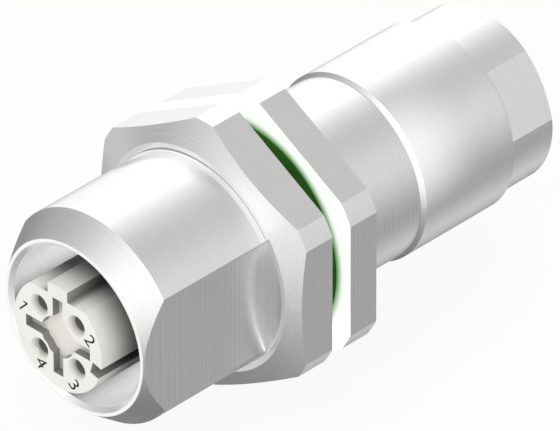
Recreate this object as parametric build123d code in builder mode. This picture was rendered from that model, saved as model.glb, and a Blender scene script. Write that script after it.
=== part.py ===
import os
from math import cos, radians, sin

from build123d import *

# Circular sensor connector: a panel feed-through socket with four contacts.
# Millimetres. The axis is Y: the plug enters from -Y and the cable leaves towards +Y.
# y = 0 is the face of the hexagonal flange that sits on the panel, and +Z is up.

# Fits
fixed_clearance = 0.02       # pieces that are pressed or clamped together
running_clearance = 0.05     # pieces that turn or slide on each other

# Plug space: coupling thread M12 x 1, drawn at its outer diameter
plug_thread_radius = 6.0
plug_lead_in = 0.3
plug_depth = 8.6
web_thickness = 1.5
web_key_width = 1.2
web_key_depth = 0.7

# Front of the shell: panel thread M16 x 1.5, drawn at its outer diameter, with two flats
panel_thread_radius = 8.0
panel_flat_wall = 0.6        # left between the plug thread and the flats
panel_flat_land = 0.4        # full thread left between the flats and the seal groove
front_length = 16.8          # flange face to rim
nose_wall = 0.55             # left round the plug thread
nose_cone_length = 2.0

# Flange, shank and rear spigot of the shell
flange_thickness = 2.55
flange_flat_step = 0.1       # how far its flats lie inside the nut's
flange_corner_step = 0.15    # how far its corners lie inside the nut's
shank_radius = 6.85
shank_length = 7.15
spigot_step = 0.5
spigot_length = 3.5
spigot_wall = 0.95
spigot_chamfer = 0.3
iris_seat_width = 0.2
edge_break = 0.1

# Panel seal, clamped between the flange and the panel
seal_groove_depth = 1.0      # below the panel thread
seal_overhang = 0.5          # outside the panel thread
panel_seal_thickness = 1.5
panel_seal_bevel = 0.3
seal_groove_play = 0.05

# Panel nut
nut_wall = 1.55              # from its bore to its flats
nut_corner_reach = 1.05      # from its flats to its turned corners
nut_thickness = 3.4
nut_face_land = 0.35         # between the countersink and the cone
nut_cone_depth = 0.9
nut_countersink = 0.1
nut_gap = 0.3                # between the nut and the panel seal, with no panel fitted

# Contact insert, and the base behind it
plug_gap = 1.85              # round the insert, for the plug's ring
insert_projection = 1.5      # how far its face stands in front of the rim
insert_base_length = 4.7
base_pin_radius = 0.9
base_pin_length = 3.0
coding_flat_depth = 0.9
coding_rib_width = 1.86
coding_notch_angle = -15.5
coding_notch_width = 0.95
coding_notch_depth = 0.85
face_recess_depth = 0.6
face_hub_radius = 1.57
face_boss_wall = 0.23        # round the entries of contacts 2 and 4, which reach into the hub
face_arm_width = 0.93
face_arm_wall = 1.1          # from the ends of the arms to the side of the insert
insert_ring_groove = 0.95    # radial depth of the groove for the insert's seal
insert_ring_width = 1.15
insert_ring_setback = 1.5    # from the web to the groove

# Contacts, on a 5 mm pitch circle
contact_count = 4
contact_circle_radius = 2.5
first_contact_angle = 135.0
contact_bore_radius = 0.5
contact_bore_depth = 6.5
contact_socket_wall = 0.25
contact_setback = 1.3        # from the face of the insert to the socket
contact_entry_play = 0.06    # round the pin, behind the lead-in
contact_entry_lead = 0.26    # radial depth of the lead-in
contact_entry_cone = 60      # full angle of the lead-in, in degrees
contact_collar_height = 0.3
contact_collar_length = 1.0
contact_slot_width = 0.2
contact_slot_length = 5.0
contact_mouth_chamfer = 0.1
crimp_bore_radius = 0.55
crimp_wall = 0.3
crimp_bore_depth = 3.2
crimp_hole_radius = 0.25

# Contact holder, lock and retaining ring
holder_bore_play = 0.1       # round the crimp barrels
holder_pin_radius = 0.9
holder_pin_length = 1.2
lock_thickness = 1.0
lock_play = 0.2
lock_hub_radius = 1.1
lock_hub_length = 0.8
retaining_ring_width = 1.25
retaining_ring_thickness = 1.3
spanner_slot_width = 1.2
spanner_slot_depth = 0.7
wire_space = 1.8             # behind the retaining ring
crimp_overhang = 1.3         # how far the crimp barrels stand out of the ring

# Barrel
barrel_step = 0.25           # how far it stands out of the shank
barrel_wall = 1.1            # round the clamp thread
barrel_length = 9.1
barrel_chamfer_length = 0.25
barrel_rear_chamfer = 0.25
barrel_shoulder_length = 1.0
barrel_seal_section = 0.5
barrel_seal_width = 0.8
barrel_seal_setback = 0.8

# Shield clamp
iris_setback = 1.0           # from the rear of the shank to the iris seat
iris_thickness = 0.25
iris_bore_radius = 2.9
iris_finger_count = 12
iris_slot_width = 0.25
iris_rim = 0.98
shield_ring_length = 1.25
shield_ring_bore = 3.6
shield_ring_lip = 0.78
shield_ring_land = 0.4       # straight part of its bore, behind the cone

# Cable seal
cable_seal_bore_radius = 2.8
cable_seal_lip = 0.35
cable_seal_lip_count = 3
cable_seal_bevel = 0.5

# Clamp nut, with thrust ring and clamping cage
clamp_thread_length = 3.25
clamp_wall = 1.4             # from the clamp thread to the front bore
clamp_head_step = 0.45       # how far the head lies inside the barrel
clamp_head_length = 4.35
clamp_flats_depth = 0.525
clamp_flats_angle = 30.0
clamp_rear_chamfer = 0.58
clamp_rear_chamfer_length = 0.35
clamp_cone_depth = 1.3       # from the front bore down to the cable bore
cable_bore_length = 3.0
cable_bore_rounding = 0.4
clamp_cone_length = 1.9
thrust_ring_thickness = 0.6
thrust_ring_width = 1.1
cage_base_thickness = 0.65
cage_bore_step = 0.15        # how far the fingers reach inside the cable bore
cage_finger_count = 8
cage_slot_width = 0.6
cage_cone_gap = 0.2
cage_tooth_depth = 0.2
cage_tooth_pitch = 0.7
cage_tooth_count = 4

# Radii and widths, worked out from the sizes above
nose_radius = plug_thread_radius + nose_wall
panel_flat_offset = plug_thread_radius + panel_flat_wall
panel_seal_inner_radius = panel_thread_radius - seal_groove_depth
panel_seal_outer_radius = panel_thread_radius + seal_overhang
nut_bore = panel_thread_radius + running_clearance
nut_face_radius = nut_bore + nut_countersink + nut_face_land
nut_across_flats = 2 * (nut_bore + nut_wall)
nut_corner_radius = nut_bore + nut_wall + nut_corner_reach
flange_across_flats = nut_across_flats - 2 * flange_flat_step
flange_corner_radius = nut_corner_radius - flange_corner_step
spigot_radius = shank_radius - spigot_step
rear_chamber_radius = spigot_radius - spigot_wall
chamber_radius = rear_chamber_radius - iris_seat_width
insert_radius = plug_thread_radius - plug_gap
insert_base_radius = chamber_radius - running_clearance
coding_flat_height = insert_radius - coding_flat_depth
face_arm_reach = insert_radius - face_arm_wall
contact_socket_radius = contact_bore_radius + contact_socket_wall
contact_collar_radius = contact_socket_radius + contact_collar_height
contact_entry_bore = contact_bore_radius + contact_entry_play
contact_entry_radius = contact_entry_bore + contact_entry_lead
face_boss_radius = contact_entry_radius + face_boss_wall
cavity_radius = contact_socket_radius + running_clearance
crimp_radius = crimp_bore_radius + crimp_wall
holder_radius = chamber_radius - running_clearance
holder_bore_radius = crimp_radius + holder_bore_play
lock_radius = chamber_radius - lock_play
retaining_ring_radius = chamber_radius - running_clearance
retaining_ring_bore = retaining_ring_radius - retaining_ring_width
barrel_radius = shank_radius + barrel_step
clamp_thread_radius = barrel_radius - barrel_wall
clamp_front_bore = clamp_thread_radius - clamp_wall
cable_bore_radius = clamp_front_bore - clamp_cone_depth
clamp_head_radius = barrel_radius - clamp_head_step
clamp_flats_width = 2 * (clamp_head_radius - clamp_flats_depth)
iris_radius = rear_chamber_radius - fixed_clearance
iris_slot_reach = iris_radius - iris_rim
shield_ring_mouth = iris_radius - shield_ring_lip
cage_bore_radius = cable_bore_radius - cage_bore_step

# Places along the axis, worked out from the sizes above
rim_y = -front_length
cone_rear_y = rim_y + nose_cone_length
plug_floor_y = rim_y + plug_depth
web_rear_y = plug_floor_y + web_thickness
face_y = rim_y - insert_projection
socket_front_y = face_y + contact_setback
seal_groove_y = -(panel_seal_thickness + seal_groove_play)
flats_rear_y = seal_groove_y - panel_flat_land
nut_rear_y = -(panel_seal_thickness + nut_gap)
nut_front_y = nut_rear_y - nut_thickness
insert_groove_y = web_rear_y + insert_ring_setback
insert_rear_y = web_rear_y + insert_base_length
shank_rear_y = flange_thickness + shank_length
spigot_rear_y = shank_rear_y + spigot_length
iris_seat_y = shank_rear_y - iris_setback
ring_rear_y = iris_seat_y - wire_space
ring_front_y = ring_rear_y - retaining_ring_thickness
lock_front_y = ring_front_y - lock_thickness
crimp_rear_y = ring_rear_y + crimp_overhang
barrel_rear_y = shank_rear_y + barrel_length
head_front_y = barrel_rear_y + running_clearance
clamp_front_y = head_front_y - clamp_thread_length
clamp_rear_y = head_front_y + clamp_head_length
thrust_rear_y = clamp_front_y - running_clearance
thrust_front_y = thrust_rear_y - thrust_ring_thickness
cage_front_y = thrust_front_y - cage_base_thickness
shield_ring_front_y = iris_seat_y + iris_thickness
cable_seal_front_y = shield_ring_front_y + shield_ring_length
cable_seal_rear_y = cage_front_y - running_clearance


def section(y):
    """Plane across the axis at y, seen from the plug side: its x is +X and its y is +Z."""
    return Plane.XZ.offset(-y)


def rear_section(y):
    """Plane across the axis at y, seen from the cable side."""
    return Plane(origin=(0, y, 0), x_dir=(-1, 0, 0), z_dir=(0, 1, 0))


def turned_face(*points, plane=Plane.XY):
    """Closed profile from (radius, y) points, to be turned about the axis."""
    with BuildSketch(plane) as profile:
        with BuildLine():
            Polyline(*points, close=True)
        make_face()
    return profile.sketch


def hexagon(y, across_flats, corner_radius):
    """Hexagon with two upright flats, its corners turned down to a radius."""
    with BuildSketch(section(y)) as blank:
        RegularPolygon(across_flats / 2, 6, major_radius=False, rotation=30)
        Circle(corner_radius, mode=Mode.INTERSECT)
    return blank.sketch


def seal_ring(label, inner_radius, outer_radius, middle_y):
    """Ring of round section between two radii."""
    section_radius = (outer_radius - inner_radius) / 2 - fixed_clearance
    with BuildPart() as ring:
        with BuildSketch(Plane.XY):
            with Locations(((inner_radius + outer_radius) / 2, middle_y)):
                Circle(section_radius)
        revolve(axis=Axis.Y)
    ring.part.label = label
    return ring.part


# Front shell: one piece turned from hexagonal bar
spigot_groove_radius = spigot_radius + fixed_clearance - barrel_seal_section
spigot_groove_y = shank_rear_y + barrel_seal_setback
with BuildPart() as front_shell:
    with BuildSketch(Plane.XY):
        with BuildLine():
            Polyline(
                (plug_thread_radius + plug_lead_in, rim_y),
                (nose_radius, rim_y),
                (panel_thread_radius, cone_rear_y),
                (panel_thread_radius, seal_groove_y),
                (panel_seal_inner_radius, seal_groove_y),
                (panel_seal_inner_radius, flange_thickness / 2),
                (shank_radius, flange_thickness / 2),
                (shank_radius, shank_rear_y - edge_break),
                (shank_radius - edge_break, shank_rear_y),
                (spigot_radius, shank_rear_y),
                (spigot_radius, spigot_groove_y),
                (spigot_groove_radius, spigot_groove_y),
                (spigot_groove_radius, spigot_groove_y + barrel_seal_width),
                (spigot_radius, spigot_groove_y + barrel_seal_width),
                (spigot_radius, spigot_rear_y - spigot_chamfer),
                (spigot_radius - spigot_chamfer, spigot_rear_y),
                (rear_chamber_radius, spigot_rear_y),
                (rear_chamber_radius, iris_seat_y),
                (chamber_radius, iris_seat_y),
                (chamber_radius, web_rear_y),
                (insert_radius + fixed_clearance, web_rear_y),
                (insert_radius + fixed_clearance, plug_floor_y),
                (plug_thread_radius, plug_floor_y),
                (plug_thread_radius, rim_y + plug_lead_in),
                close=True,
            )
        make_face()
    revolve(axis=Axis.Y)
    flange_outline = hexagon(0, flange_across_flats, flange_corner_radius)
    with BuildSketch(section(0)):
        add(flange_outline)
        Circle(chamber_radius, mode=Mode.SUBTRACT)
    extrude(amount=-flange_thickness)
    # Two flats along the panel thread
    flat_depth = panel_thread_radius
    with BuildSketch(section(rim_y)):
        with PolarLocations(panel_flat_offset + flat_depth / 2, 2):
            Rectangle(flat_depth, 2 * panel_thread_radius)
    extrude(amount=-(flats_rear_y - rim_y), mode=Mode.SUBTRACT)
    # Keyway that stops the insert from turning
    with BuildSketch(rear_section(web_rear_y)):
        with Locations((0, -insert_radius)):
            Rectangle(web_key_width, 2 * (chamber_radius - insert_radius))
    extrude(amount=-web_key_depth, mode=Mode.SUBTRACT)
front_shell.part.label = "front_shell"

# Panel nut: hexagon with a coned front face and countersunk ends
with BuildPart() as panel_nut:
    extrude(hexagon(nut_front_y, nut_across_flats, nut_corner_radius), amount=-nut_thickness)
    revolve(
        turned_face(
            (nut_bore + nut_countersink, nut_front_y),
            (nut_face_radius, nut_front_y),
            (nut_corner_radius, nut_front_y + nut_cone_depth),
            (nut_corner_radius, nut_rear_y),
            (nut_bore + nut_countersink, nut_rear_y),
            (nut_bore, nut_rear_y - nut_countersink),
            (nut_bore, nut_front_y + nut_countersink),
        ),
        axis=Axis.Y,
        mode=Mode.INTERSECT,
    )
panel_nut.part.label = "panel_nut"

# Panel seal: moulded ring in the groove in front of the flange, with bevelled edges
seal_bore = panel_seal_inner_radius + fixed_clearance
with BuildPart() as panel_seal:
    revolve(
        turned_face(
            (seal_bore, -panel_seal_bevel),
            (seal_bore + panel_seal_bevel, 0),
            (panel_seal_outer_radius - panel_seal_bevel, 0),
            (panel_seal_outer_radius, -panel_seal_bevel),
            (panel_seal_outer_radius, panel_seal_bevel - panel_seal_thickness),
            (panel_seal_outer_radius - panel_seal_bevel, -panel_seal_thickness),
            (seal_bore + panel_seal_bevel, -panel_seal_thickness),
            (seal_bore, panel_seal_bevel - panel_seal_thickness),
        ),
        axis=Axis.Y,
    )
panel_seal.part.label = "panel_seal"

# Contact insert: moulded, with the coding outside and the cross-shaped recess in its face
with BuildPart() as contact_insert:
    with BuildSketch(section(face_y)):
        Circle(insert_radius)
        for side in (-1, 1):
            with Locations((side * (coding_rib_width + insert_radius) / 2, coding_flat_height)):
                Rectangle(insert_radius, insert_radius, align=(Align.CENTER, Align.MIN), mode=Mode.SUBTRACT)
        with PolarLocations(insert_radius, 1, start_angle=coding_notch_angle):
            Rectangle(2 * coding_notch_depth, coding_notch_width, mode=Mode.SUBTRACT)
    extrude(amount=-(plug_floor_y - face_y))
    # Round neck in the bore of the shell's web
    with BuildSketch(section(plug_floor_y)):
        Circle(insert_radius)
    extrude(amount=-web_thickness)
    # Recess: a round hub and four arms, past the bosses of contacts 2 and 4
    with BuildSketch(section(face_y)):
        Circle(face_hub_radius)
        with PolarLocations(contact_circle_radius, 2, start_angle=first_contact_angle - 90):
            Circle(face_boss_radius, mode=Mode.SUBTRACT)
        Rectangle(face_arm_width, 2 * face_arm_reach)
        Rectangle(2 * face_arm_reach, face_arm_width)
    extrude(amount=-face_recess_depth, mode=Mode.SUBTRACT)
    # Entries in the face
    with Locations(section(face_y)):
        with PolarLocations(contact_circle_radius, contact_count, start_angle=first_contact_angle):
            CounterSinkHole(
                contact_entry_bore,
                contact_entry_radius,
                depth=contact_setback + contact_bore_depth,
                counter_sink_angle=contact_entry_cone,
            )
    # From the rear: cavities for the sockets, and the hole for the base's pin
    with Locations(rear_section(web_rear_y)):
        with PolarLocations(contact_circle_radius, contact_count, start_angle=first_contact_angle):
            Hole(cavity_radius, depth=web_rear_y - socket_front_y)
        Hole(base_pin_radius + fixed_clearance, depth=base_pin_length + fixed_clearance)
contact_insert.part.label = "contact_insert"

# Insert base: moulded, pressed into the insert from behind the web, with the seal and the key
insert_groove_radius = chamber_radius - insert_ring_groove
with BuildPart() as insert_base:
    revolve(
        turned_face(
            (0, web_rear_y - base_pin_length),
            (base_pin_radius, web_rear_y - base_pin_length),
            (base_pin_radius, web_rear_y),
            (insert_base_radius, web_rear_y),
            (insert_base_radius, insert_groove_y),
            (insert_groove_radius, insert_groove_y),
            (insert_groove_radius, insert_groove_y + insert_ring_width),
            (insert_base_radius, insert_groove_y + insert_ring_width),
            (insert_base_radius, insert_rear_y),
            (0, insert_rear_y),
        ),
        axis=Axis.Y,
    )
    # Key in the keyway of the shell's web
    key_start_radius = insert_radius + 2 * fixed_clearance
    with BuildSketch(rear_section(web_rear_y)):
        with Locations((0, -key_start_radius)):
            Rectangle(
                web_key_width - 2 * fixed_clearance,
                insert_base_radius - key_start_radius,
                align=(Align.CENTER, Align.MAX),
            )
    extrude(amount=-(web_key_depth - fixed_clearance))
    # Cavities for the sockets, with seats for the contacts' collars, and the holder's hole
    with Locations(rear_section(insert_rear_y)):
        with PolarLocations(contact_circle_radius, contact_count, start_angle=first_contact_angle):
            CounterBoreHole(
                cavity_radius,
                contact_collar_radius + running_clearance,
                contact_collar_length + fixed_clearance,
                depth=insert_base_length,
            )
        Hole(holder_pin_radius + fixed_clearance, depth=holder_pin_length + fixed_clearance)
insert_base.part.label = "insert_base"

insert_seal = seal_ring(
    "insert_seal",
    insert_groove_radius,
    chamber_radius,
    insert_groove_y + insert_ring_width / 2,
)

# Contact holder: clamps the contacts' collars and guides the crimp barrels
with BuildPart() as contact_holder:
    holder_length = lock_front_y - insert_rear_y
    with BuildSketch(section(insert_rear_y)):
        Circle(holder_radius)
        with PolarLocations(contact_circle_radius, contact_count, start_angle=first_contact_angle):
            Circle(holder_bore_radius, mode=Mode.SUBTRACT)
    extrude(amount=-holder_length)
    with BuildSketch(section(insert_rear_y)):
        Circle(holder_pin_radius)
    extrude(amount=holder_pin_length)
    # Socket for the lock's hub
    with Locations(rear_section(lock_front_y)):
        Hole(lock_hub_radius + fixed_clearance, depth=lock_hub_length + fixed_clearance)
contact_holder.part.label = "contact_holder"

# Contact lock: disc that snaps behind the holder, with a hub in its middle
with BuildPart() as contact_lock:
    with BuildSketch(section(lock_front_y)):
        Circle(lock_radius)
        with PolarLocations(contact_circle_radius, contact_count, start_angle=first_contact_angle):
            Circle(holder_bore_radius, mode=Mode.SUBTRACT)
    extrude(amount=-lock_thickness)
    with BuildSketch(section(lock_front_y)):
        Circle(lock_hub_radius)
    extrude(amount=lock_hub_length)
contact_lock.part.label = "contact_lock"

# Retaining ring: screwed into the shell behind the lock, with two slots for a spanner
with BuildPart() as retaining_ring:
    with BuildSketch(section(ring_front_y)):
        Circle(retaining_ring_radius)
        Circle(retaining_ring_bore, mode=Mode.SUBTRACT)
    extrude(amount=-retaining_ring_thickness)
    with BuildSketch(rear_section(ring_rear_y)):
        Rectangle(2 * retaining_ring_radius, spanner_slot_width)
    extrude(amount=-spanner_slot_depth, mode=Mode.SUBTRACT)
retaining_ring.part.label = "retaining_ring"


def turned_contact(number, angle):
    """Turned socket contact: slit socket in front, collar in the middle, crimp barrel behind."""
    across = (cos(radians(angle)), 0, sin(radians(angle)))
    centre = (contact_circle_radius * across[0], 0, contact_circle_radius * across[2])
    half_section = Plane(origin=centre, x_dir=across, z_dir=(-across[2], 0, across[0]))
    collar_rear_y = insert_rear_y - fixed_clearance
    collar_front_y = collar_rear_y - contact_collar_length + fixed_clearance
    with BuildPart() as contact:
        revolve(
            turned_face(
                (contact_bore_radius + contact_mouth_chamfer, socket_front_y + fixed_clearance),
                (contact_socket_radius, socket_front_y + fixed_clearance),
                (contact_socket_radius, collar_front_y),
                (contact_collar_radius, collar_front_y),
                (contact_collar_radius, collar_rear_y),
                (crimp_radius, collar_rear_y),
                (crimp_radius, crimp_rear_y),
                (crimp_bore_radius, crimp_rear_y),
                (crimp_bore_radius, crimp_rear_y - crimp_bore_depth),
                (0, crimp_rear_y - crimp_bore_depth - crimp_bore_radius),
                (0, socket_front_y + contact_bore_depth + contact_bore_radius / 2),
                (contact_bore_radius, socket_front_y + contact_bore_depth),
                (contact_bore_radius, socket_front_y + fixed_clearance + contact_mouth_chamfer),
                plane=half_section,
            ),
            axis=Axis(centre, (0, 1, 0)),
        )
        # Slit through the socket, square to the line from the middle of the connector
        slit_plane = Plane(
            origin=(centre[0], socket_front_y, centre[2]),
            x_dir=across,
            z_dir=(0, -1, 0),
        )
        with BuildSketch(slit_plane):
            Rectangle(contact_slot_width, 2 * contact_collar_radius)
        extrude(amount=-contact_slot_length, mode=Mode.SUBTRACT)
        # Inspection hole near the bottom of the crimp barrel
        hole_y = crimp_rear_y - crimp_bore_depth + 2 * crimp_hole_radius
        hole_plane = Plane(
            origin=(
                centre[0] + crimp_radius * across[0],
                hole_y,
                centre[2] + crimp_radius * across[2],
            ),
            x_dir=(0, 1, 0),
            z_dir=across,
        )
        with Locations(hole_plane):
            Hole(crimp_hole_radius, depth=crimp_radius)
    contact.part.label = f"contact_{number}"
    return contact.part


contacts = []
for index in range(contact_count):
    contact_angle = first_contact_angle - index * 360 / contact_count
    contacts.append(turned_contact(index + 1, contact_angle))

# Barrel: smooth sleeve pressed over the spigot, threaded inside its rear end for the clamp nut
barrel_bore = spigot_radius + fixed_clearance
pocket_rear_y = spigot_rear_y + running_clearance
shoulder_rear_y = pocket_rear_y + barrel_shoulder_length
shoulder_bore = rear_chamber_radius + running_clearance
with BuildPart() as barrel:
    revolve(
        turned_face(
            (barrel_bore, shank_rear_y),
            (shank_radius, shank_rear_y),
            (barrel_radius, shank_rear_y + barrel_chamfer_length),
            (barrel_radius, barrel_rear_y - barrel_rear_chamfer),
            (barrel_radius - barrel_rear_chamfer, barrel_rear_y),
            (clamp_thread_radius + running_clearance, barrel_rear_y),
            (clamp_thread_radius + running_clearance, shoulder_rear_y),
            (shoulder_bore, shoulder_rear_y),
            (shoulder_bore, pocket_rear_y),
            (barrel_bore, pocket_rear_y),
        ),
        axis=Axis.Y,
    )
barrel.part.label = "barrel"

barrel_seal = seal_ring(
    "barrel_seal",
    spigot_groove_radius,
    barrel_bore,
    spigot_groove_y + barrel_seal_width / 2,
)

# Shield iris: thin spring disc with inward fingers that press on the cable's braid
with BuildPart() as shield_iris:
    with BuildSketch(section(iris_seat_y)):
        Circle(iris_radius)
        Circle(iris_bore_radius, mode=Mode.SUBTRACT)
        with PolarLocations(iris_bore_radius, iris_finger_count):
            Rectangle(2 * (iris_slot_reach - iris_bore_radius), iris_slot_width, mode=Mode.SUBTRACT)
    extrude(amount=-iris_thickness)
shield_iris.part.label = "shield_iris"

# Shield ring: coned mouth towards the iris, so that the braid is trapped between them
with BuildPart() as shield_ring:
    revolve(
        turned_face(
            (shield_ring_mouth, shield_ring_front_y),
            (iris_radius, shield_ring_front_y),
            (iris_radius, cable_seal_front_y),
            (shield_ring_bore, cable_seal_front_y),
            (shield_ring_bore, cable_seal_front_y - shield_ring_land),
        ),
        axis=Axis.Y,
    )
shield_ring.part.label = "shield_ring"

# Cable seal: rubber bush with rounded lips in its bore
cable_seal_radius = rear_chamber_radius - running_clearance
cable_seal_length = cable_seal_rear_y - cable_seal_front_y
lip_pitch = cable_seal_length / cable_seal_lip_count
with BuildPart() as cable_seal:
    with BuildSketch(Plane.XY):
        with BuildLine():
            Polyline(
                (cable_seal_bore_radius, cable_seal_front_y),
                (cable_seal_radius - cable_seal_bevel, cable_seal_front_y),
                (cable_seal_radius, cable_seal_front_y + cable_seal_bevel),
                (cable_seal_radius, cable_seal_rear_y),
                (cable_seal_bore_radius, cable_seal_rear_y),
            )
            for lip in range(cable_seal_lip_count):
                lip_rear_y = cable_seal_rear_y - lip * lip_pitch
                SagittaArc(
                    (cable_seal_bore_radius, lip_rear_y),
                    (cable_seal_bore_radius, lip_rear_y - lip_pitch),
                    cable_seal_lip,
                )
        make_face()
    revolve(axis=Axis.Y)
cable_seal.part.label = "cable_seal"

# Clamp nut: thread inside the barrel, round head with two flats, cone for the cage's fingers
head_cone_rear_y = clamp_rear_y - cable_bore_length
head_cone_front_y = head_cone_rear_y - clamp_cone_length
with BuildPart() as clamp_nut:
    with BuildSketch(Plane.XY):
        with BuildLine():
            mouth_start = (cable_bore_radius, clamp_rear_y - cable_bore_rounding)
            mouth_end = (cable_bore_radius + cable_bore_rounding, clamp_rear_y)
            Polyline(
                mouth_start,
                (cable_bore_radius, head_cone_rear_y),
                (clamp_front_bore, head_cone_front_y),
                (clamp_front_bore, clamp_front_y),
                (clamp_thread_radius, clamp_front_y),
                (clamp_thread_radius, head_front_y),
                (clamp_head_radius - edge_break, head_front_y),
                (clamp_head_radius, head_front_y + edge_break),
                (clamp_head_radius, clamp_rear_y - clamp_rear_chamfer_length),
                (clamp_head_radius - clamp_rear_chamfer, clamp_rear_y),
                mouth_end,
            )
            RadiusArc(mouth_end, mouth_start, cable_bore_rounding)
        make_face()
    revolve(axis=Axis.Y)
    flat_cut = clamp_head_radius
    with BuildSketch(section(head_front_y)):
        with PolarLocations((clamp_flats_width + flat_cut) / 2, 2, start_angle=clamp_flats_angle):
            Rectangle(flat_cut, 2 * clamp_head_radius)
    extrude(amount=-clamp_head_length, mode=Mode.SUBTRACT)
clamp_nut.part.label = "clamp_nut"

# Thrust ring between the clamp nut and the cage
thrust_outer_radius = clamp_thread_radius - 2 * running_clearance
with BuildPart() as thrust_ring:
    with BuildSketch(section(thrust_front_y)):
        Circle(thrust_outer_radius)
        Circle(thrust_outer_radius - thrust_ring_width, mode=Mode.SUBTRACT)
    extrude(amount=-thrust_ring_thickness)
thrust_ring.part.label = "thrust_ring"

# Clamping cage: collar and slit fingers whose tips follow the cone inside the clamp nut
cage_radius = clamp_front_bore - cage_cone_gap
cage_base_radius = rear_chamber_radius - running_clearance
cone_slope = (clamp_front_bore - cable_bore_radius) / clamp_cone_length
cage_cone_front_y = head_cone_front_y - cage_cone_gap / 2
cage_tip_radius = cage_bore_radius + cage_cone_gap + cage_tooth_depth
cage_rear_y = cage_cone_front_y + (cage_radius - cage_tip_radius) / cone_slope
with BuildPart() as clamp_cage:
    revolve(
        turned_face(
            (cage_bore_radius, cage_front_y),
            (cage_base_radius, cage_front_y),
            (cage_base_radius, thrust_front_y),
            (cage_radius, thrust_front_y),
            (cage_radius, cage_cone_front_y),
            (cage_tip_radius, cage_rear_y),
            (cage_bore_radius, cage_rear_y),
        ),
        axis=Axis.Y,
    )
    # Rings of teeth in the fingers' bore, left between turned grooves
    for tooth in range(cage_tooth_count):
        groove_y = cage_rear_y - (tooth + 1) * cage_tooth_pitch
        revolve(
            turned_face(
                (cage_bore_radius, groove_y + cage_tooth_pitch / 2),
                (cage_bore_radius + cage_tooth_depth, groove_y),
                (cage_bore_radius, groove_y - cage_tooth_pitch / 2),
            ),
            axis=Axis.Y,
            mode=Mode.SUBTRACT,
        )
    with BuildSketch(rear_section(cage_rear_y)):
        for turn in range(cage_finger_count // 2):
            Rectangle(2 * cage_base_radius, cage_slot_width, rotation=turn * 360 / cage_finger_count)
    extrude(amount=-(cage_rear_y - thrust_front_y), mode=Mode.SUBTRACT)
clamp_cage.part.label = "clamp_cage"

pieces = [
    front_shell.part,
    panel_nut.part,
    panel_seal.part,
    contact_insert.part,
    insert_base.part,
    insert_seal,
    contact_holder.part,
    contact_lock.part,
    retaining_ring.part,
    *contacts,
    barrel.part,
    barrel_seal,
    shield_iris.part,
    shield_ring.part,
    cable_seal.part,
    clamp_nut.part,
    thrust_ring.part,
    clamp_cage.part,
]

os.makedirs("parts", exist_ok=True)
for piece in pieces:
    export_step(piece, f"parts/{piece.label}.step")
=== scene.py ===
import math

import bpy
from mathutils import Matrix, Vector


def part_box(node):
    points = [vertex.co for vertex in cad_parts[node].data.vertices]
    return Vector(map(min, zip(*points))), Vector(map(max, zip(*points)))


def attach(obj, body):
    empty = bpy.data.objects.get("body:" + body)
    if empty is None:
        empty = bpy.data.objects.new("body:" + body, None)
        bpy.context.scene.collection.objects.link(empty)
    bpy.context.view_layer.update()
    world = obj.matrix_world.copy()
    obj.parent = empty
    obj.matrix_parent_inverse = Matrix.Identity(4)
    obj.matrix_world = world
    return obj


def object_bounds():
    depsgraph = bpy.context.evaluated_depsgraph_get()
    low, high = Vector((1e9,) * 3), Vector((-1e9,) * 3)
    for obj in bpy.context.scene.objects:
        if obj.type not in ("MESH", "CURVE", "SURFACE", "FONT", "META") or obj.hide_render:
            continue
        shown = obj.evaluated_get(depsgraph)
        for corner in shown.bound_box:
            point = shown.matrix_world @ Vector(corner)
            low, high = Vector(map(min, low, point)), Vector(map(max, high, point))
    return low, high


# Circular sensor connector, dressed and lit. Metres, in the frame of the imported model:
# the axis is Y, the plug side is -Y and the cable side +Y.

mm = 0.001
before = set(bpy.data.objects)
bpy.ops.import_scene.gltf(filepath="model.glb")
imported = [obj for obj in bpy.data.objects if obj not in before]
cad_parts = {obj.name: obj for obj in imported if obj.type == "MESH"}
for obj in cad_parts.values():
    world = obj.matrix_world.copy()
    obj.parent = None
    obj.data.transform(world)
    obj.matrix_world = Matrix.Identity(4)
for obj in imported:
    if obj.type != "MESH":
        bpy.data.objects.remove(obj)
cadBox = [list(corner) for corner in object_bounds()]
print("frame loaded:", len(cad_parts), "nodes")


# Helpers

def clearDefaults():
    for name in ("Cube", "Light", "Camera"):
        thing = bpy.data.objects.get(name)
        if thing:
            bpy.data.objects.remove(thing)


def direction(azimuth, elevation):
    a, e = math.radians(azimuth), math.radians(elevation)
    return Vector((math.sin(a) * math.cos(e), -math.cos(a) * math.cos(e), math.sin(e)))


clearDefaults()


# Camera, at the photograph's angle

cameraView = {
    "azimuth": 44.609,
    "elevation": 34.615,
    "roll": -0.133,
    "distance": 818.21 * mm,
    "shiftRight": 2.044 * mm,
    "shiftUp": 0.722 * mm,
    "focalPixels": 12050.2,
    "photoWidth": 560,
    "sensorWidth": 36,
}


def makeCamera(look):
    back = direction(look["azimuth"], look["elevation"])
    right = Vector((-back.y, back.x, 0)).normalized()
    up = back.cross(right)
    turn = Matrix.Rotation(math.radians(look["roll"]), 3, back)
    right, up = turn @ right, turn @ up
    place = back * look["distance"] + right * look["shiftRight"] + up * look["shiftUp"]
    data = bpy.data.cameras.new("photoCamera")
    data.sensor_fit = "HORIZONTAL"
    data.sensor_width = look["sensorWidth"]
    data.lens = look["focalPixels"] / look["photoWidth"] * look["sensorWidth"]
    data.clip_start, data.clip_end = 0.01, 10
    camera = bpy.data.objects.new("photoCamera", data)
    bpy.context.scene.collection.objects.link(camera)
    pose = Matrix((right, up, back)).transposed().to_4x4()
    camera.matrix_world = Matrix.Translation(place) @ pose
    bpy.context.scene.camera = camera


makeCamera(cameraView)
print("camera placed")


# Studio light: the metal sees soft lights all round, as lobes of the world, and everything
# else gets a dim even fill with one soft lamp from the front

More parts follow.
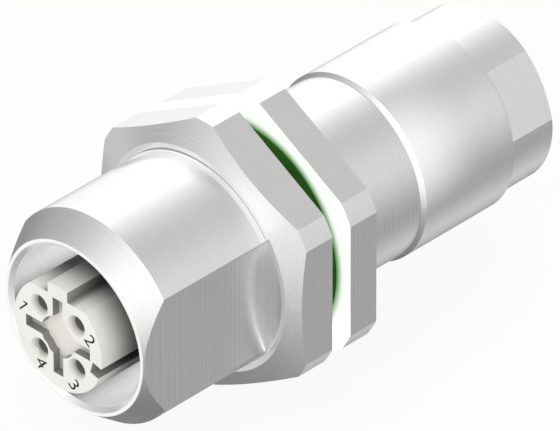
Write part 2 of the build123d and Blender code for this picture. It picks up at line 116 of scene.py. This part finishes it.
studio = {
    "fill": 0.12,
    # azimuth, elevation, narrowness, brightness
    "softLights": [
        (-137, -9, 24, 0.95),
        (-135, 30, 6, 1.15),
        (13, 22, 2, 1.15),
        (113, 22, 2.9, 0.58),
        (179, -44, 11, 0.53),
        (-63, -33, 25, 0.8),
    ],
    "evenFill": 0.85,
    "background": 1.0,
}
frontLamp = {
    "azimuth": 18,
    "elevation": 24,
    "distance": 0.45,
    "size": 0.16,
    "watts": 0.4,
}


def lightLobe(tree, where, last, light):
    azimuth, elevation, narrow, bright = light
    dot = tree.nodes.new("ShaderNodeVectorMath")
    dot.operation = "DOT_PRODUCT"
    tree.links.new(where.outputs["Generated"], dot.inputs[0])
    dot.inputs[1].default_value = direction(azimuth, elevation)
    # falls off as exp(narrow * (cosine - 1))
    scaled = tree.nodes.new("ShaderNodeMath")
    scaled.operation = "MULTIPLY_ADD"
    tree.links.new(dot.outputs["Value"], scaled.inputs[0])
    scaled.inputs[1].default_value = narrow
    scaled.inputs[2].default_value = -narrow
    power = tree.nodes.new("ShaderNodeMath")
    power.operation = "EXPONENT"
    tree.links.new(scaled.outputs[0], power.inputs[0])
    add = tree.nodes.new("ShaderNodeMath")
    add.operation = "MULTIPLY_ADD"
    tree.links.new(power.outputs[0], add.inputs[0])
    add.inputs[1].default_value = bright
    tree.links.new(last, add.inputs[2])
    return add.outputs[0]


def makeWorld(light):
    world = bpy.data.worlds.new("studio")
    bpy.context.scene.world = world
    world.use_nodes = True
    tree = world.node_tree
    nodes, links = tree.nodes, tree.links
    nodes.clear()
    where = nodes.new("ShaderNodeTexCoord")
    total = nodes.new("ShaderNodeValue")
    total.outputs[0].default_value = light["fill"]
    last = total.outputs[0]
    for softLight in light["softLights"]:
        last = lightLobe(tree, where, last, softLight)
    soft = nodes.new("ShaderNodeBackground")
    links.new(last, soft.inputs["Color"])
    even = nodes.new("ShaderNodeBackground")
    even.inputs["Color"].default_value = (1, 1, 1, 1)
    even.inputs["Strength"].default_value = light["evenFill"]
    plain = nodes.new("ShaderNodeBackground")
    plain.inputs["Color"].default_value = (1, 1, 1, 1)
    plain.inputs["Strength"].default_value = light["background"]
    path = nodes.new("ShaderNodeLightPath")
    glossy = nodes.new("ShaderNodeMixShader")
    links.new(path.outputs["Is Glossy Ray"], glossy.inputs["Fac"])
    links.new(even.outputs[0], glossy.inputs[1])
    links.new(soft.outputs[0], glossy.inputs[2])
    mix = nodes.new("ShaderNodeMixShader")
    links.new(path.outputs["Is Camera Ray"], mix.inputs["Fac"])
    links.new(glossy.outputs[0], mix.inputs[1])
    links.new(plain.outputs[0], mix.inputs[2])
    out = nodes.new("ShaderNodeOutputWorld")
    links.new(mix.outputs[0], out.inputs["Surface"])


def makeLamp(look):
    data = bpy.data.lights.new("frontLamp", "AREA")
    data.shape = "DISK"
    data.size = look["size"]
    data.energy = look["watts"]
    lamp = bpy.data.objects.new("frontLamp", data)
    bpy.context.scene.collection.objects.link(lamp)
    toLamp = direction(look["azimuth"], look["elevation"])
    lamp.location = toLamp * look["distance"]
    lamp.rotation_euler = toLamp.to_track_quat("Z", "Y").to_euler()
    lamp.visible_glossy = False


makeWorld(studio)
makeLamp(frontLamp)


# Floor

floorLook = {
    "size": 1.2,
    "pale": (0.8, 0.8, 0.8, 1),
    "paper": (0.95, 0.95, 0.95, 1),
    "shadow": 0.10,          # how much of the object's shadow the white ground keeps
    "glow": 1.0,
}


def makeFloor(look, height):
    mesh = bpy.data.meshes.new("floor")
    half = look["size"] / 2
    square = [(-half, -half), (half, -half), (half, half), (-half, half)]
    corners = [(x, y, height) for x, y in square]
    mesh.from_pydata(corners, [], [(0, 1, 2, 3)])
    floor = bpy.data.objects.new("floor", mesh)
    bpy.context.scene.collection.objects.link(floor)
    material = bpy.data.materials.new("floorPaper")
    material.use_nodes = True
    nodes, links = material.node_tree.nodes, material.node_tree.links
    nodes.clear()
    grey = nodes.new("ShaderNodeBsdfDiffuse")
    grey.inputs["Color"].default_value = look["pale"]
    whitePaper = nodes.new("ShaderNodeBsdfDiffuse")
    whitePaper.inputs["Color"].default_value = look["paper"]
    white = nodes.new("ShaderNodeEmission")
    white.inputs["Color"].default_value = (1, 1, 1, 1)
    white.inputs["Strength"].default_value = look["glow"]
    seen = nodes.new("ShaderNodeMixShader")
    seen.inputs["Fac"].default_value = 1 - look["shadow"]
    links.new(whitePaper.outputs[0], seen.inputs[1])
    links.new(white.outputs[0], seen.inputs[2])
    path = nodes.new("ShaderNodeLightPath")
    mix = nodes.new("ShaderNodeMixShader")
    links.new(path.outputs["Is Camera Ray"], mix.inputs["Fac"])
    links.new(grey.outputs[0], mix.inputs[1])
    links.new(seen.outputs[0], mix.inputs[2])
    out = nodes.new("ShaderNodeOutputMaterial")
    links.new(mix.outputs[0], out.inputs["Surface"])
    floor.data.materials.append(material)
    floor.visible_glossy = False


makeFloor(floorLook, cadBox[0][2])
print("studio and floor made")


# Shared effects, as node groups

def newGroup(name, inputs, outputs):
    group = bpy.data.node_groups.new(name, "ShaderNodeTree")
    for label, kind, value in inputs:
        socket = group.interface.new_socket(label, in_out="INPUT", socket_type=kind)
        socket.default_value = value
    for label, kind in outputs:
        group.interface.new_socket(label, in_out="OUTPUT", socket_type=kind)
    return group, group.nodes.new("NodeGroupInput"), group.nodes.new("NodeGroupOutput")


def mathNode(tree, operation, first, second=None, third=None):
    node = tree.nodes.new("ShaderNodeMath")
    node.operation = operation
    for slot, value in enumerate((first, second, third)):
        if value is None:
            continue
        if isinstance(value, (int, float)):
            node.inputs[slot].default_value = value
        else:
            tree.links.new(value, node.inputs[slot])
    return node.outputs[0]


def smoothMask(tree, value, low, high):
    node = tree.nodes.new("ShaderNodeMapRange")
    node.interpolation_type = "SMOOTHSTEP"
    tree.links.new(value, node.inputs["Value"])
    node.inputs["From Min"].default_value = low
    node.inputs["From Max"].default_value = high
    return node.outputs["Result"]


toolMarkLook = {
    "faceSlope": (0.8, 0.95),        # along Y, from which a surface counts as a face
    "flatSlope": (0.997, 0.9995),    # along X, from which it counts as a milled flat
    "lineDetail": 3,
    "patchScale": 260,
    "patchDetail": 2,
}


def makeToolMarks(look):
    # fine lines left by turning: rings round the axis on the sides, rings about it on the faces
    group, given, out = newGroup(
        "toolMarks",
        [
            ("Lines per mm", "NodeSocketFloat", 9.0),
            ("Unevenness", "NodeSocketFloat", 0.5),
            ("On flats", "NodeSocketFloat", 0.0),
        ],
        [("Lines", "NodeSocketFloat"), ("Tone", "NodeSocketFloat")],
    )
    where = group.nodes.new("ShaderNodeTexCoord")
    place = group.nodes.new("ShaderNodeSeparateXYZ")
    group.links.new(where.outputs["Object"], place.inputs[0])
    facing = group.nodes.new("ShaderNodeSeparateXYZ")
    shape = group.nodes.new("ShaderNodeNewGeometry")
    group.links.new(shape.outputs["True Normal"], facing.inputs[0])
    alongAxis = mathNode(group, "ABSOLUTE", facing.outputs["Y"])
    onFace = smoothMask(group, alongAxis, *look["faceSlope"])
    squareX = mathNode(group, "MULTIPLY", place.outputs["X"], place.outputs["X"])
    square = mathNode(group, "MULTIPLY_ADD", place.outputs["Z"], place.outputs["Z"], squareX)
    radius = mathNode(group, "SQRT", square)
    along = group.nodes.new("ShaderNodeMix")
    group.links.new(onFace, along.inputs["Factor"])
    group.links.new(place.outputs["Y"], along.inputs["A"])
    group.links.new(radius, along.inputs["B"])
    count = mathNode(group, "MULTIPLY", along.outputs["Result"], 1 / mm)
    count = mathNode(group, "MULTIPLY", count, given.outputs["Lines per mm"])
    lines = group.nodes.new("ShaderNodeTexNoise")
    lines.noise_dimensions = "1D"
    lines.inputs["Scale"].default_value = 1
    lines.inputs["Detail"].default_value = look["lineDetail"]
    group.links.new(count, lines.inputs["W"])
    patches = group.nodes.new("ShaderNodeTexNoise")
    patches.inputs["Scale"].default_value = look["patchScale"]
    patches.inputs["Detail"].default_value = look["patchDetail"]
    group.links.new(where.outputs["Object"], patches.inputs["Vector"])
    uneven = mathNode(group, "SUBTRACT", patches.outputs["Fac"], 0.5)
    uneven = mathNode(group, "MULTIPLY", uneven, given.outputs["Unevenness"])
    both = mathNode(group, "ADD", lines.outputs["Fac"], uneven)
    # milled flats show their lines more than turned sides do
    across = mathNode(group, "ABSOLUTE", facing.outputs["X"])
    onFlat = smoothMask(group, across, *look["flatSlope"])
    onFlat = mathNode(group, "MULTIPLY", onFlat, given.outputs["On flats"])
    swing = mathNode(group, "SUBTRACT", lines.outputs["Fac"], 0.5)
    tone = mathNode(group, "MULTIPLY_ADD", swing, onFlat, both)
    group.links.new(both, out.inputs["Lines"])
    group.links.new(tone, out.inputs["Tone"])
    return group


mouldSkinLook = {
    "grainDetail": 3,
    "cloudScale": 300,
    "cloudDetail": 2,
}


def makeMouldSkin(look):
    # the faint texture of a moulded surface
    group, given, out = newGroup(
        "mouldSkin",
        [("Grain size", "NodeSocketFloat", 0.05)],
        [("Grain", "NodeSocketFloat"), ("Cloud", "NodeSocketFloat")],
    )
    where = group.nodes.new("ShaderNodeTexCoord")
    scale = mathNode(group, "DIVIDE", 1 / mm, given.outputs["Grain size"])
    grain = group.nodes.new("ShaderNodeTexNoise")
    grain.inputs["Detail"].default_value = look["grainDetail"]
    group.links.new(where.outputs["Object"], grain.inputs["Vector"])
    group.links.new(scale, grain.inputs["Scale"])
    cloud = group.nodes.new("ShaderNodeTexNoise")
    cloud.inputs["Scale"].default_value = look["cloudScale"]
    cloud.inputs["Detail"].default_value = look["cloudDetail"]
    group.links.new(where.outputs["Object"], cloud.inputs["Vector"])
    group.links.new(grain.outputs["Fac"], out.inputs["Grain"])
    group.links.new(cloud.outputs["Fac"], out.inputs["Cloud"])
    return group


def makeZone():
    # 1 between two radii and two places along the axis, on the side the direction points to
    group, given, out = newGroup(
        "zone",
        [
            ("Inner radius", "NodeSocketFloat", 0.0),
            ("Outer radius", "NodeSocketFloat", 0.01),
            ("Front", "NodeSocketFloat", -0.01),
            ("Rear", "NodeSocketFloat", 0.01),
            ("Toward", "NodeSocketVector", (0.0, 0.0, 0.0)),
            ("Fades from", "NodeSocketFloat", -2.0),
            ("Full from", "NodeSocketFloat", -1.0),
        ],
        [("Mask", "NodeSocketFloat"), ("Radius", "NodeSocketFloat"), ("Along", "NodeSocketFloat")],
    )
    where = group.nodes.new("ShaderNodeTexCoord")
    place = group.nodes.new("ShaderNodeSeparateXYZ")
    group.links.new(where.outputs["Object"], place.inputs[0])
    squareX = mathNode(group, "MULTIPLY", place.outputs["X"], place.outputs["X"])
    square = mathNode(group, "MULTIPLY_ADD", place.outputs["Z"], place.outputs["Z"], squareX)
    radius = mathNode(group, "SQRT", square)
    mask = mathNode(group, "GREATER_THAN", radius, given.outputs["Inner radius"])
    for value, operation, limit in (
        (radius, "LESS_THAN", "Outer radius"),
        (place.outputs["Y"], "GREATER_THAN", "Front"),
        (place.outputs["Y"], "LESS_THAN", "Rear"),
    ):
        within = mathNode(group, operation, value, given.outputs[limit])
        mask = mathNode(group, "MULTIPLY", mask, within)
    dot = group.nodes.new("ShaderNodeVectorMath")
    dot.operation = "DOT_PRODUCT"
    group.links.new(where.outputs["Object"], dot.inputs[0])
    group.links.new(given.outputs["Toward"], dot.inputs[1])
    turn = group.nodes.new("ShaderNodeMapRange")
    turn.interpolation_type = "SMOOTHSTEP"
    group.links.new(mathNode(group, "DIVIDE", dot.outputs["Value"], radius), turn.inputs["Value"])
    group.links.new(given.outputs["Fades from"], turn.inputs["From Min"])
    group.links.new(given.outputs["Full from"], turn.inputs["From Max"])
    mask = mathNode(group, "MULTIPLY", mask, turn.outputs["Result"])
    group.links.new(mask, out.inputs["Mask"])
    group.links.new(radius, out.inputs["Radius"])
    group.links.new(place.outputs["Y"], out.inputs["Along"])
    return group


toolMarks = makeToolMarks(toolMarkLook)
mouldSkin = makeMouldSkin(mouldSkinLook)
zone = makeZone()
print("node groups made")


# Materials

def newMaterial(name):
    material = bpy.data.materials.new(name)
    material.use_nodes = True
    return material, material.node_tree, material.node_tree.nodes["Principled BSDF"]


def useGroup(tree, group, values):
    node = tree.nodes.new("ShaderNodeGroup")
    node.node_tree = group
    for label, value in values.items():
        node.inputs[label].default_value = value
    return node


def colourRamp(tree, factor, stops):
    ramp = tree.nodes.new("ShaderNodeValToRGB")
    tree.links.new(factor, ramp.inputs["Fac"])
    elements = ramp.color_ramp.elements
    for element, (place, colour) in zip(elements, stops):
        element.position = place
        element.color = (*colour, 1)
    return ramp.outputs["Color"]


def addBump(tree, shader, height, distance, strength):
    bump = tree.nodes.new("ShaderNodeBump")
    bump.inputs["Distance"].default_value = distance
    bump.inputs["Strength"].default_value = strength
    tree.links.new(height, bump.inputs["Height"])
    tree.links.new(bump.outputs["Normal"], shader.inputs["Normal"])


def mixColour(tree, factor, first, second):
    mix = tree.nodes.new("ShaderNodeMix")
    mix.data_type = "RGBA"
    tree.links.new(factor, mix.inputs[0])
    for slot, colour in ((6, first), (7, second)):
        if isinstance(colour, tuple):
            mix.inputs[slot].default_value = (*colour, 1)
        else:
            tree.links.new(colour, mix.inputs[slot])
    return mix.outputs[2]


cloudEdges = (0.36, 0.64)
cloudDetail = 5


def zoneColour(tree, look, before):
    # lays a colour over one zone, changing from one shade to another across it
    spot = useGroup(tree, zone, look["zone"])
    blend = smoothMask(tree, spot.outputs[look["blendOn"]], *look["blend"])
    colour = mixColour(tree, blend, look["from"], look["to"])
    if "clouds" in look:
        # painted light, made uneven as the light caught by a turned wall
        clouds = tree.nodes.new("ShaderNodeTexNoise")
        clouds.inputs["Scale"].default_value = look["clouds"]
        clouds.inputs["Detail"].default_value = cloudDetail
        clear = smoothMask(tree, clouds.outputs["Fac"], *cloudEdges)
        colour = mixColour(tree, clear, look["cloudy"], colour)
    return mixColour(tree, spot.outputs["Mask"], before, colour)


def turnedMetal(name, look, glows=()):
    material, tree, shader = newMaterial(name)
    lines = {"Lines per mm": look["linesPerMm"], "Unevenness": 0.3, "On flats": look["onFlats"]}
    marks = useGroup(tree, toolMarks, lines)
    colour = colourRamp(tree, marks.outputs["Tone"], [(0.25, look["dark"]), (0.75, look["light"])])
    tree.links.new(colour, shader.inputs["Base Color"])
    rough = tree.nodes.new("ShaderNodeMapRange")
    tree.links.new(marks.outputs["Lines"], rough.inputs["Value"])
    rough.inputs["To Min"].default_value = look["roughness"][0]
    rough.inputs["To Max"].default_value = look["roughness"][1]
    tree.links.new(rough.outputs["Result"], shader.inputs["Roughness"])
    shader.inputs["Metallic"].default_value = 1
    addBump(tree, shader, marks.outputs["Lines"], look["bump"], look["bumpStrength"])
    # painted light: the glow zones feed the metal's emission
    glow = (0, 0, 0)
    for lit in glows:
        glow = zoneColour(tree, lit, glow)
    if glows:
        tree.links.new(glow, shader.inputs["Emission Color"])
        shader.inputs["Emission Strength"].default_value = 1
    return material


def lerp(tree, factor, first, second):
    return mathNode(tree, "MULTIPLY_ADD", factor, second - first, first)


# slope along the axis: a face has at least the first, an upright wall less than the second
faceFrom = 0.9
wallBelow = 0.3
# the colour that the deepest painted shade goes to
darkest = (0.004, 0.004, 0.004)


def shadeInsert(tree, colour, look):
    # painted shade: darkens the insert's colour in its corners, recess, entries and towards the rear
    where = tree.nodes.new("ShaderNodeTexCoord")
    place = tree.nodes.new("ShaderNodeSeparateXYZ")
    tree.links.new(where.outputs["Object"], place.inputs[0])
    shape = tree.nodes.new("ShaderNodeNewGeometry")
    facing = tree.nodes.new("ShaderNodeSeparateXYZ")
    tree.links.new(shape.outputs["True Normal"], facing.inputs[0])
    slope = mathNode(tree, "ABSOLUTE", facing.outputs["Y"])
    depth = mathNode(tree, "SUBTRACT", place.outputs["Y"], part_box("contact_insert")[0].y)
    squareX = mathNode(tree, "MULTIPLY", place.outputs["X"], place.outputs["X"])
    square = mathNode(tree, "MULTIPLY_ADD", place.outputs["Z"], place.outputs["Z"], squareX)
    radius = mathNode(tree, "SQRT", square)
    aside = mathNode(tree, "ABSOLUTE", place.outputs["X"])
    upright = mathNode(tree, "LESS_THAN", slope, wallBelow)
    core = mathNode(tree, "LESS_THAN", radius, look["coreRadius"])
    outside = mathNode(tree, "SUBTRACT", 1, core)
    onFlat = mathNode(tree, "GREATER_THAN", place.outputs["Z"], look["flatHeight"])
    # painted shade: the side of the insert, darker towards the rear
    fade = smoothMask(tree, depth, *look["fade"])
    shade = lerp(tree, fade, 1, look["deepest"])
    # painted shade on the walls and arms of the recess, and in the entries
    walls = mathNode(tree, "MULTIPLY", upright, core)
    shade = mathNode(tree, "MULTIPLY", shade, lerp(tree, walls, 1, look["recessWall"]))
    behindFace = mathNode(tree, "GREATER_THAN", depth, look["fade"][0])
    flat = mathNode(tree, "GREATER_THAN", slope, faceFrom)
    floor = mathNode(tree, "MULTIPLY", flat, behindFace)
    arms = mathNode(tree, "MULTIPLY", floor, smoothMask(tree, radius, *look["hubEdge"]))
    shade = mathNode(tree, "MULTIPLY", shade, lerp(tree, arms, 1, look["armFloor"]))
    steep = mathNode(tree, "SUBTRACT", 1, flat)
    funnel = mathNode(tree, "MULTIPLY", core, mathNode(tree, "SUBTRACT", steep, upright))
    funnel = mathNode(tree, "MULTIPLY", funnel, smoothMask(tree, depth, *look["funnel"]))
    shade = mathNode(tree, "MULTIPLY", shade, lerp(tree, funnel, 1, look["funnelEnd"]))
    # painted shade in the groove in the side
    groove = mathNode(tree, "MULTIPLY", upright, outside)
    groove = mathNode(tree, "MULTIPLY", groove, mathNode(tree, "LESS_THAN", radius, look["sideRadius"]))
    groove = mathNode(tree, "MULTIPLY", groove, mathNode(tree, "SUBTRACT", 1, onFlat))
    shade = mathNode(tree, "MULTIPLY", shade, lerp(tree, groove, 1, look["groove"]))
    # painted shade in the corners between the rib and the flats
    beside = mathNode(tree, "GREATER_THAN", aside, look["ribHalfWidth"])
    start = look["ribHalfWidth"]
    away = smoothMask(tree, aside, start, start + look["cornerWidth"])
    corner = mathNode(tree, "MULTIPLY", mathNode(tree, "SUBTRACT", 1, away), beside)
    corner = mathNode(tree, "MULTIPLY", corner, mathNode(tree, "MULTIPLY", onFlat, upright))
    shade = mathNode(tree, "MULTIPLY", shade, lerp(tree, corner, 1, look["corner"]))
    return mixColour(tree, shade, darkest, colour)


def mouldedPlastic(name, look, tints=(), shade=None):
    material, tree, shader = newMaterial(name)
    skin = useGroup(tree, mouldSkin, {"Grain size": look["grain"]})
    colour = colourRamp(tree, skin.outputs["Cloud"], [(0.3, look["dark"]), (0.7, look["light"])])
    for tint in tints:
        colour = zoneColour(tree, tint, colour)
    # painted shade, where given
    if shade:
        colour = shadeInsert(tree, colour, shade)
    tree.links.new(colour, shader.inputs["Base Color"])
    shader.inputs["Roughness"].default_value = look["roughness"]
    shader.inputs["Specular IOR Level"].default_value = look.get("specular", 0.5)
    addBump(tree, shader, skin.outputs["Grain"], look["bump"], look["bumpStrength"])
    return material


def sideways(angle):
    # straight out from the axis, the angle taken from +X towards +Z
    return (math.cos(math.radians(angle)), 0, math.sin(math.radians(angle)))


def zoneOf(radii, places, angle=None, edges=None):
    # millimetres from the axis and along it, and if it is on one side only, that side
    values = {
        "Inner radius": radii[0] * mm,
        "Outer radius": radii[1] * mm,
        "Front": places[0] * mm,
        "Rear": places[1] * mm,
    }
    if angle is not None:
        values |= {"Toward": sideways(angle), "Fades from": edges[0], "Full from": edges[1]}
    return values


nickel = {
    "linesPerMm": 9,
    "onFlats": 0.3,
    "dark": (0.875, 0.875, 0.87),
    "light": (0.955, 0.955, 0.95),
    "roughness": (0.21, 0.27),
    "bump": 0.002 * mm,
    "bumpStrength": 0.02,
}
milledNickel = dict(nickel, linesPerMm=8, onFlats=7)
# painted light: emission laid on the metal where light caught between bright faces is wanted; here on
# the wall of the plug space
plugSpaceGlow = {
    "zone": zoneOf((5.5, 6.31), (-17, -8.3)),
    "blendOn": "Radius",
    "blend": (6.0 * mm, 6.1 * mm),
    "from": (0.225, 0.225, 0.223),
    "to": (0.26, 0.26, 0.26),
    "clouds": 1100,
    "cloudy": (0.09, 0.09, 0.088),
}
# painted light: white emission on the panel face, with a painted green reflection of the seal near its
# edge
panelFaceGlow = {
    "zone": zoneOf((7.1, 12), (-0.03, 0.03)),
    "blendOn": "Radius",
    "blend": (8.12 * mm, 8.95 * mm),
    "from": (0.05, 0.2, 0.03),
    "to": (0.93, 0.945, 0.93),
}
# painted light: emission on the milled flats, growing towards the nut
flatGlow = {
    "zone": zoneOf((6.55, 7.9), (-10, -4)),
    "blendOn": "Along",
    "blend": (-10 * mm, -6.5 * mm),
    "from": (0, 0, 0),
    "to": (0.05, 0.05, 0.05),
}
# painted highlight: emission on the top of the body, growing towards the nut
bodyGlow = {
    "zone": zoneOf((7.9, 8.1), (-9, -5.25), 112, (0.77, 0.98)),
    "blendOn": "Along",
    "blend": (-9 * mm, -5.6 * mm),
    "from": (0, 0, 0),
    "to": (0.36, 0.36, 0.36),
}
# painted light: emission on the face of the rim
rimGlow = {
    "zone": zoneOf((6.29, 6.56), (-17, -16.78)),
    "blendOn": "Radius",
    "blend": (6.3 * mm, 6.5 * mm),
    "from": (0.3, 0.3, 0.3),
    "to": (0.3, 0.3, 0.3),
}
# painted light: emission on one side of the barrel's front, fading rearwards
barrelGlow = {
    "zone": zoneOf((6.7, 7.2), (9.6, 16), 33, (0.77, 0.97)),
    "blendOn": "Along",
    "blend": (9.6 * mm, 16 * mm),
    "from": (0.27, 0.27, 0.27),
    "to": (0, 0, 0),
}
# painted light: emission round the nut's bore
nutEdgeGlow = {
    "zone": zoneOf((7.9, 8.16), (-6, -2)),
    "blendOn": "Along",
    "blend": (-6 * mm, -2 * mm),
    "from": (0.13, 0.13, 0.129),
    "to": (0.13, 0.13, 0.129),
}
# painted light: more emission on one side of the nut's bore, changing along it
nutBoreGlow = {
    "zone": zoneOf((7.9, 8.16), (-6, -2), 0, (0.78, 0.84)),
    "blendOn": "Along",
    "blend": (-6 * mm, -2 * mm),
    "from": (0.22, 0.22, 0.218),
    "to": (0.18, 0.18, 0.178),
}
gold = {
    "linesPerMm": 8,
    "onFlats": 0,
    "dark": (0.80, 0.58, 0.24),
    "light": (0.92, 0.70, 0.34),
    "roughness": (0.2, 0.28),
    "bump": 0.004 * mm,
    "bumpStrength": 0.15,
}
bronze = {
    "linesPerMm": 6,
    "onFlats": 0,
    "dark": (0.70, 0.66, 0.58),
    "light": (0.80, 0.77, 0.70),
    "roughness": (0.22, 0.3),
    "bump": 0.002 * mm,
    "bumpStrength": 0.1,
}
hubTint = {
    "zone": zoneOf((0, 1.58), (-17.75, -17.65)),
    "blendOn": "Radius",
    "blend": (0.8 * mm, 1.6 * mm),
    "from": (0.94, 0.89, 0.84),
    "to": (0.94, 0.90, 0.85),
}
# painted shade: how dark the insert's colour is made in its corners and deeper in, as a share of its
# own colour
insertShade = {
    "fade": (0.1 * mm, 3.6 * mm),         # behind the face
    "deepest": 0.1,
    "coreRadius": 3.15 * mm,              # round the recess and the entries
    "recessWall": 0.3,
    "armFloor": 0.62,
    "hubEdge": (1.4 * mm, 2.2 * mm),
    "funnel": (0.0, 0.5 * mm),
    "funnelEnd": 0.5,
    "sideRadius": 4.1 * mm,
    "groove": 0.35,
    "ribHalfWidth": 0.925 * mm,
    "flatHeight": 3.2 * mm,
    "cornerWidth": 0.9 * mm,
    "corner": 0.35,
}
insertPlastic = {
    "dark": (0.88, 0.875, 0.82),
    "light": (0.93, 0.925, 0.87),
    "roughness": 0.42,
    "grain": 0.06,
    "bump": 0.004 * mm,
    "bumpStrength": 0.2,
}
lockPlastic = {
    "dark": (0.66, 0.66, 0.64),
    "light": (0.72, 0.72, 0.70),
    "roughness": 0.5,
    "grain": 0.06,
    "bump": 0.004 * mm,
    "bumpStrength": 0.2,
}
cagePlastic = {
    "dark": (0.028, 0.028, 0.030),
    "light": (0.045, 0.045, 0.048),
    "roughness": 0.45,
    "grain": 0.05,
    "bump": 0.006 * mm,
    "bumpStrength": 0.25,
}
greenRubber = {
    "dark": (0.012, 0.056, 0.003),
    "light": (0.020, 0.078, 0.006),
    "roughness": 0.6,
    "specular": 0.05,
    "grain": 0.08,
    "bump": 0.004 * mm,
    "bumpStrength": 0.2,
}
blackRubber = {
    "dark": (0.014, 0.014, 0.014),
    "light": (0.022, 0.022, 0.022),
    "roughness": 0.55,
    "grain": 0.08,
    "bump": 0.006 * mm,
    "bumpStrength": 0.25,
}
# the zones of painted light on the shell
shellGlows = (plugSpaceGlow, rimGlow, flatGlow, bodyGlow, panelFaceGlow)

finishes = {
    "nickelPlate": turnedMetal("nickelPlate", nickel),
    "shellNickel": turnedMetal("shellNickel", milledNickel, shellGlows),
    "nutNickel": turnedMetal("nutNickel", nickel, (nutEdgeGlow, nutBoreGlow)),
    "barrelNickel": turnedMetal("barrelNickel", nickel, (barrelGlow,)),
    "contactGold": turnedMetal("contactGold", gold),
    "springBronze": turnedMetal("springBronze", bronze),
    "insertPlastic": mouldedPlastic("insertPlastic", insertPlastic),
    # the insert's face, with painted shade in its corners and deeper in
    "facePlastic": mouldedPlastic("facePlastic", insertPlastic, (hubTint,), insertShade),
    "lockPlastic": mouldedPlastic("lockPlastic", lockPlastic),
    "cagePlastic": mouldedPlastic("cagePlastic", cagePlastic),
    "greenRubber": mouldedPlastic("greenRubber", greenRubber),
    "blackRubber": mouldedPlastic("blackRubber", blackRubber),
}

finishOfNode = {
    "front_shell": "shellNickel",
    "panel_nut": "nutNickel",
    "panel_seal": "greenRubber",
    "contact_insert": "facePlastic",
    "insert_base": "insertPlastic",
    "insert_seal": "blackRubber",
    "contact_holder": "insertPlastic",
    "contact_lock": "lockPlastic",
    "retaining_ring": "nickelPlate",
    "contact_1": "contactGold",
    "contact_2": "contactGold",
    "contact_3": "contactGold",
    "contact_4": "contactGold",
    "barrel": "barrelNickel",
    "barrel_seal": "blackRubber",
    "shield_iris": "springBronze",
    "shield_ring": "nickelPlate",
    "cable_seal": "blackRubber",
    "clamp_nut": "nickelPlate",
    "thrust_ring": "lockPlastic",
    "clamp_cage": "cagePlastic",
}


def dressNodes():
    for name, finish in finishOfNode.items():
        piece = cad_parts[name]
        piece.data.materials.clear()
        piece.data.materials.append(finishes[finish])


dressNodes()
print("materials assigned")


# Contact numbers printed on the insert's face

numbers = {
    "height": 1.12 * mm,
    "turn": -44,             # degrees, as seen from the plug side
    "standProud": 0.004 * mm,
    # text, place across (+X) and up (+Z) in mm
    "places": [
        ("1", -3.27, 0.95),
        ("2", 3.02, 1.17),
        ("3", 1.45, -3.22),
        ("4", -1.69, -2.96),
    ],
    "colour": (0.012, 0.012, 0.012),
    "roughness": 0.6,
}
figureShare = 0.7            # of the type size, the height of a figure


def figureOne(height):
    # a stem with a flag; the middle of the figure is its origin
    stem = [(-0.05, 0), (0.06, 0), (0.06, 1), (-0.04, 1)]
    flag = [(-0.27, 0.79), (-0.20, 0.70), (-0.05, 0.83)]
    outline = stem + flag
    mesh = bpy.data.meshes.new("figureOne")
    corners = [(across * height, (up - 0.5) * height, 0) for across, up in outline]
    mesh.from_pydata(corners, [], [tuple(range(len(corners)))])
    return mesh


def typedFigure(text, height):
    curve = bpy.data.curves.new(f"number{text}", "FONT")
    curve.body = text
    curve.size = height / figureShare
    curve.align_x = "CENTER"
    curve.align_y = "CENTER"
    drawn = bpy.data.objects.new(f"number{text}Text", curve)
    bpy.context.scene.collection.objects.link(drawn)
    bpy.context.view_layer.update()
    finished = drawn.evaluated_get(bpy.context.evaluated_depsgraph_get())
    mesh = bpy.data.meshes.new_from_object(finished)
    bpy.data.objects.remove(drawn)
    return mesh


def makeNumbers(look):
    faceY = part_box("contact_insert")[0].y
    material, tree, shader = newMaterial("numberInk")
    shader.inputs["Base Color"].default_value = (*look["colour"], 1)
    shader.inputs["Roughness"].default_value = look["roughness"]
    for text, across, up in look["places"]:
        mesh = figureOne(look["height"]) if text == "1" else typedFigure(text, look["height"])
        # the text's plane is XY: stand it up so that it reads from the plug side
        stand = Matrix.Rotation(math.radians(90), 4, "X")
        spin = Matrix.Rotation(math.radians(look["turn"]), 4, "Z")
        place = Matrix.Translation((across * mm, faceY - look["standProud"], up * mm))
        mesh.transform(place @ stand @ spin)
        piece = bpy.data.objects.new(f"number{text}", mesh)
        bpy.context.scene.collection.objects.link(piece)
        mesh.materials.clear()
        mesh.materials.append(material)
        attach(piece, "shell")


makeNumbers(numbers)
print("contact numbers made")


# View settings

bpy.context.scene.view_settings.view_transform = "Standard"
